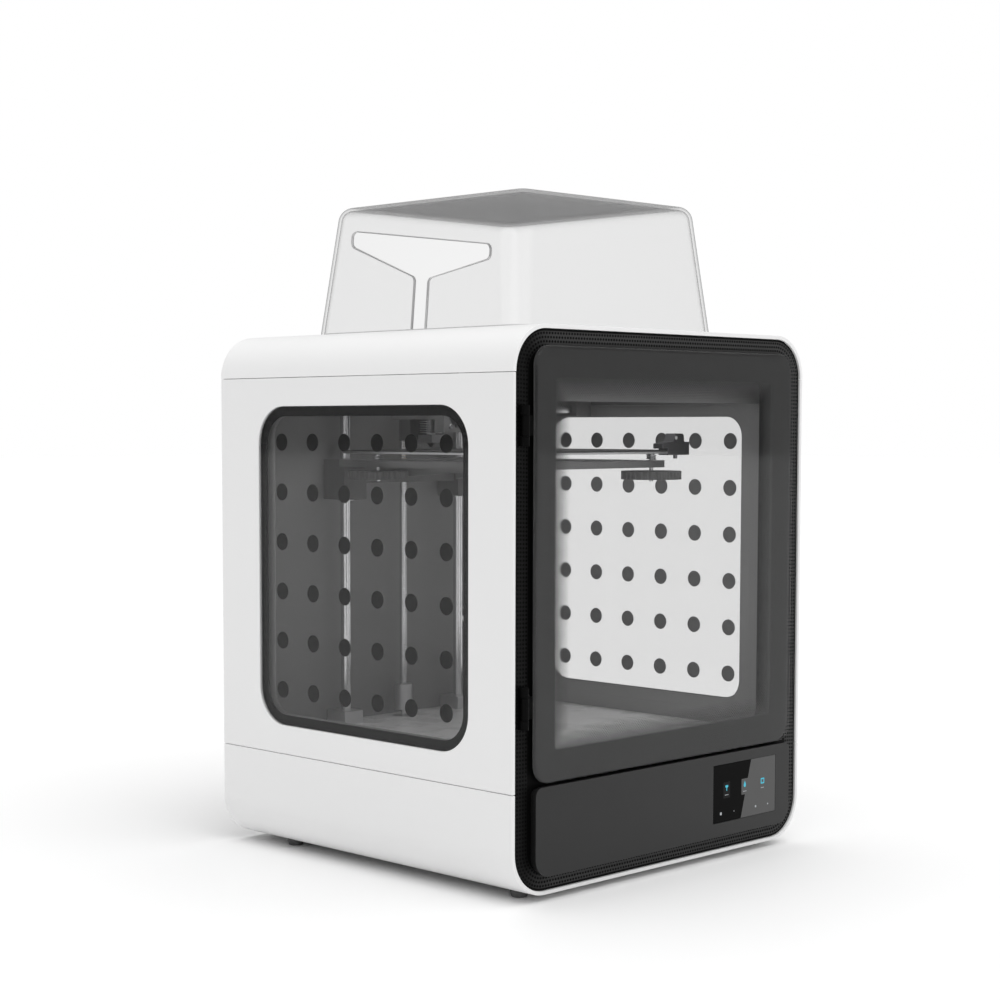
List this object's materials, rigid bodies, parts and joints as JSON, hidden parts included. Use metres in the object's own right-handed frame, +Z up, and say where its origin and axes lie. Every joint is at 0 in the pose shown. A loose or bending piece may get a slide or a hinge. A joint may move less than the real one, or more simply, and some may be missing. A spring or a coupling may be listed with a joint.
{
  "type": "fdm printer",
  "caption": "Enclosed desktop filament printer with rounded white shell, dotted side windows, swing door, touch screen, clear lift-off hood and belt-driven gantry over a falling bed.",
  "frame": {"origin": "middle of the footprint's bounding box, on the plane under the feet", "axes": "+Z up, -Y towards the door and touch screen, +X to the right when facing the door"},
  "size_m": [0.4026, 0.471, 0.6126],
  "materials": {
    "white_shell": "satin powder coat",
    "white_cover": "fine satin",
    "black_plastic": "fine grain",
    "grey_front": "semi gloss",
    "clear_sheet": "clear, slightly smoked",
    "print_ink": "printed",
    "grey_metal": "powder coat",
    "steel": "ground",
    "aluminium": "satin",
    "brass": "turned",
    "motor_black": "satin black",
    "rubber": "matt",
    "screen": "gloss glass",
    "board": "solder mask",
    "print_surface": "textured",
    "moving_plastic": "moulded",
    "carriage": "moulded"
  },
  "bodies": {
    "frame": {"base_tub": "white_shell", "side_panel_left": "white_shell", "side_panel_right": "white_shell", "top_cover": "white_cover", "rear_cover": "grey_metal", "front_bezel": "black_plastic", "lower_panel": "grey_front", "touch_screen": "screen", "side_windows": "clear_sheet", "window_prints": "print_ink", "chamber_floor": "grey_metal", "chamber_back_wall": "grey_metal", "side_liners": "grey_metal", "hinge_brackets": "black_plastic", "z_rods": "steel", "rod_clamps": "aluminium", "z_motor": "motor_black", "gantry_frame": "grey_metal", "y_rods": "steel", "y_motor": "motor_black", "y_belts": "rubber", "power_supply": "aluminium", "mainboard": "board", "power_inlet": "black_plastic", "exhaust_fan_frame": "black_plastic", "spool_holder": "black_plastic", "extruder_motor": "motor_black", "extruder_body": "moving_plastic", "feet": "rubber", "shell_screws": "steel"},
    "door": {"door_panel": "clear_sheet", "door_print": "grey_front", "door_frame": "black_plastic", "hinge_leaves": "black_plastic"},
    "hood_cover": {"hood": "clear_sheet"},
    "bed": {"bed_bracket": "grey_metal", "bed_carriage": "carriage", "lead_nut": "brass", "heated_bed": "aluminium", "print_sheet": "print_surface", "bed_studs": "steel", "bed_clips": "steel"},
    "wheel_fl": {"levelling_wheel_fl": "moving_plastic"},
    "wheel_fr": {"levelling_wheel_fr": "moving_plastic"},
    "wheel_bl": {"levelling_wheel_bl": "moving_plastic"},
    "wheel_br": {"levelling_wheel_br": "moving_plastic"},
    "screw": {"lead_screw": "steel", "screw_coupler": "aluminium"},
    "drive_shaft": {"y_shaft": "steel"},
    "gantry": {"x_rods": "steel", "gantry_blocks": "carriage", "x_motor": "motor_black", "x_belt": "rubber"},
    "cross_pulley": {"x_pulley": "steel"},
    "head": {"head_body": "carriage", "hotend": "aluminium"},
    "head_rotor": {"head_fan": "moving_plastic"},
    "exhaust_rotor": {"exhaust_fan": "moving_plastic"},
    "switch_rocker": {"rocker_switch": "moving_plastic"},
    "feed_gear": {"extruder_gear": "brass"}
  },
  "joints": [
    {"name": "door_swing", "type": "hinge", "parent": "frame", "child": "door", "pos_m": [-0.18875, -0.2315, 0.206], "axis": [0, 0, -1], "range_deg": [0, 115]},
    {"name": "hood_lift", "type": "slide", "parent": "frame", "child": "hood_cover", "axis": [0, 0, 1], "range_m": [0, 0.15]},
    {"name": "bed_lift", "type": "slide", "parent": "frame", "child": "bed", "axis": [0, 0, 1], "range_m": [-0.2, 0]},
    {"name": "screw_turn", "type": "hinge", "parent": "frame", "child": "screw", "pos_m": [0, 0.1185, 0.206], "axis": [0, 0, 1], "continuous": true},
    {"name": "gantry_travel", "type": "slide", "parent": "frame", "child": "gantry", "axis": [0, 1, 0], "range_m": [-0.184, 0.011]},
    {"name": "shaft_turn", "type": "hinge", "parent": "frame", "child": "drive_shaft", "pos_m": [0, 0.1125, 0.458], "axis": [1, 0, 0], "continuous": true},
    {"name": "head_travel", "type": "slide", "parent": "gantry", "child": "head", "axis": [1, 0, 0], "range_m": [-0.084, 0.136]},
    {"name": "pulley_turn", "type": "hinge", "parent": "gantry", "child": "cross_pulley", "pos_m": [-0.129, 0.0505, 0.439], "axis": [0, 0, 1], "continuous": true},
    {"name": "head_fan_spin", "type": "hinge", "parent": "head", "child": "head_rotor", "pos_m": [-0.026, 0.0085, 0.4205], "axis": [0, 1, 0], "continuous": true},
    {"name": "exhaust_fan_spin", "type": "hinge", "parent": "frame", "child": "exhaust_rotor", "pos_m": [0.14, 0.1455, 0.206], "axis": [0, 1, 0], "continuous": true},
    {"name": "power_rocker", "type": "hinge", "parent": "frame", "child": "switch_rocker", "pos_m": [-0.136, 0.1575, 0.094], "axis": [-1, 0, 0], "range_deg": [0, 20]},
    {"name": "feed_turn", "type": "hinge", "parent": "frame", "child": "feed_gear", "pos_m": [0.062, 0.2005, 0.438], "axis": [0, 1, 0], "continuous": true},
    {"name": "wheel_fl_turn", "type": "hinge", "parent": "bed", "child": "wheel_fl", "pos_m": [-0.093, -0.1318, 0.357], "axis": [0, 0, 1], "continuous": true},
    {"name": "wheel_fr_turn", "type": "hinge", "parent": "bed", "child": "wheel_fr", "pos_m": [0.093, -0.1318, 0.357], "axis": [0, 0, 1], "continuous": true},
    {"name": "wheel_bl_turn", "type": "hinge", "parent": "bed", "child": "wheel_bl", "pos_m": [-0.093, 0.0542, 0.357], "axis": [0, 0, 1], "continuous": true},
    {"name": "wheel_br_turn", "type": "hinge", "parent": "bed", "child": "wheel_br", "pos_m": [0.093, 0.0542, 0.357], "axis": [0, 0, 1], "continuous": true}
  ],
  "couplings": [
    {"joint": "screw_turn", "follows": "bed_lift", "rad_per_m": 785.4},
    {"joint": "shaft_turn", "follows": "gantry_travel", "rad_per_m": 166.67},
    {"joint": "pulley_turn", "follows": "head_travel", "rad_per_m": -166.67}
  ]
}
